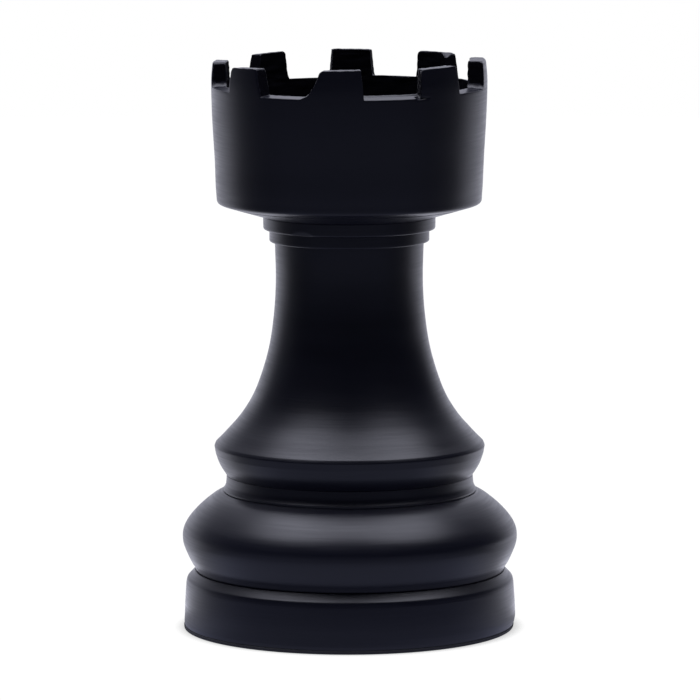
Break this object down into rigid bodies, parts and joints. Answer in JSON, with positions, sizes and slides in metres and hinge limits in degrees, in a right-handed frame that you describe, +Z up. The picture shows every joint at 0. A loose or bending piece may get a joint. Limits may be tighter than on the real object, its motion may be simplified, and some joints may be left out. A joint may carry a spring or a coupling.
{
  "type": "giant chess piece",
  "caption": "Giant garden-chess rook in matt black: stacked turned sections, a crenellated crown and a rubber-padded base with a screw-in ballast filler plug.",
  "frame": {"origin": "centre of the base on the ground, under the rook's axis", "axes": "+Z up along the axis the piece is turned about; the front merlon stands on the -Y side"},
  "size_m": [0.2462, 0.2462, 0.42],
  "materials": {
    "black_paint": "satin",
    "cup_black": "matte",
    "pad_rubber": "matte",
    "seal_rubber": "satin",
    "plate_plastic": "matte",
    "plug_plastic": "satin",
    "zinc_steel": "satin",
    "dry_sand": "matte"
  },
  "bodies": {
    "rook_body": {"base_pad": "pad_rubber", "bottom_plate": "plate_plastic", "plate_gasket": "seal_rubber", "plate_screw_1": "zinc_steel", "plate_screw_2": "zinc_steel", "plate_screw_3": "zinc_steel", "plate_screw_4": "zinc_steel", "plate_screw_5": "zinc_steel", "plate_screw_6": "zinc_steel", "sand_ballast": "dry_sand", "sand_chamber": "plate_plastic", "base_drum": "black_paint", "base_bulge": "black_paint", "waist_ring": "black_paint", "stem_bell": "black_paint", "lower_collar": "black_paint", "upper_collar": "black_paint", "crown_dish": "black_paint", "crown": "black_paint", "crown_floor": "cup_black", "tie_rod": "zinc_steel", "lower_washer": "zinc_steel", "lower_nut": "zinc_steel", "upper_washer": "zinc_steel", "upper_nut": "zinc_steel"},
    "seal_ring": {"plug_seal": "seal_rubber"},
    "plug": {"filler_plug": "plug_plastic"}
  },
  "joints": [
    {"name": "plug_travel", "type": "slide", "parent": "rook_body", "child": "seal_ring", "axis": [0, 0, -1], "range_m": [0, 0.009]},
    {"name": "plug_turn", "type": "hinge", "parent": "seal_ring", "child": "plug", "pos_m": [0, 0, 0.0133], "axis": [0, 0, -1], "range_deg": [0, 1080]}
  ],
  "couplings": [
    {"joint": "plug_travel", "follows": "plug_turn", "m_per_rad": 0.00047746}
  ]
}
